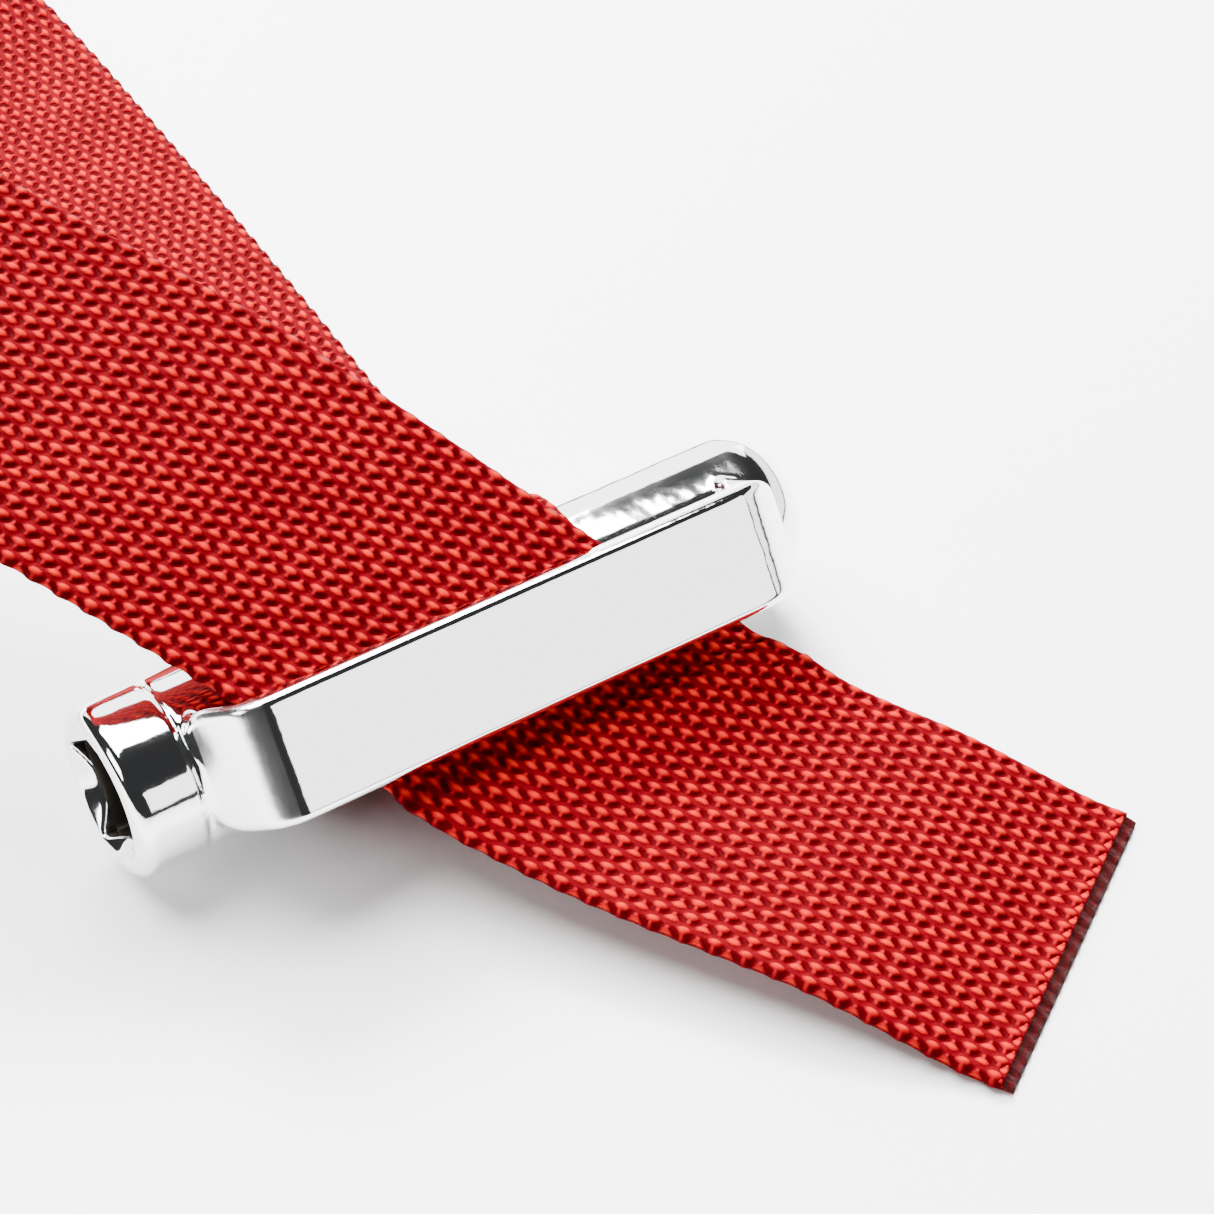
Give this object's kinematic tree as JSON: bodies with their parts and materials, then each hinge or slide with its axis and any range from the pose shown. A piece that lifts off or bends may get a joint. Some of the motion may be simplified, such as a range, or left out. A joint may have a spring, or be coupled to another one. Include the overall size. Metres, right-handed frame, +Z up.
{
  "type": "strap wrench",
  "caption": "Half-inch-drive strap wrench: chromed barrel with a square socket and a bail, threaded with a looped 48 mm red webbing strap.",
  "frame": {"origin": "centre of the square drive mouth, on the drive face", "axes": "+X along the barrel to its closed end, +Y from the bar's side towards the far end of the loop, +Z up from the table"},
  "size_m": [0.1595, 0.3058, 0.0818],
  "materials": {
    "chrome_steel": "bright chrome plate",
    "webbing": "coarse woven webbing",
    "thread": "twisted sewing thread"
  },
  "bodies": {
    "webbing": {"sewn_eye": "webbing", "eye_lap": "webbing", "lap_stitching": "thread", "lower_strand": "webbing", "upper_strand": "webbing", "slot_run": "webbing", "tail_run": "webbing"},
    "steel_body": {"forged_body": "chrome_steel"},
    "bight": {"loop_bight": "webbing"},
    "tail": {"tail_end": "webbing"}
  },
  "joints": [
    {"name": "body_rock", "type": "hinge", "parent": "webbing", "child": "steel_body", "pos_m": [0.0475, 0, 0], "axis": [-1, 0, 0], "range_deg": [-4, 9]},
    {"name": "tail_pull", "type": "slide", "parent": "webbing", "child": "tail", "axis": [0.5373, -0.8434, 0], "range_m": [-0.012, 0.024], "deforming": ["slot_run", "tail_run"]},
    {"name": "bight_draw", "type": "slide", "parent": "webbing", "child": "bight", "axis": [0, -1, 0], "range_m": [-0.006, 0.012], "deforming": ["upper_strand", "lower_strand"]}
  ],
  "couplings": [
    {"joint": "bight_draw", "follows": "tail_pull", "ratio": 0.5}
  ]
}
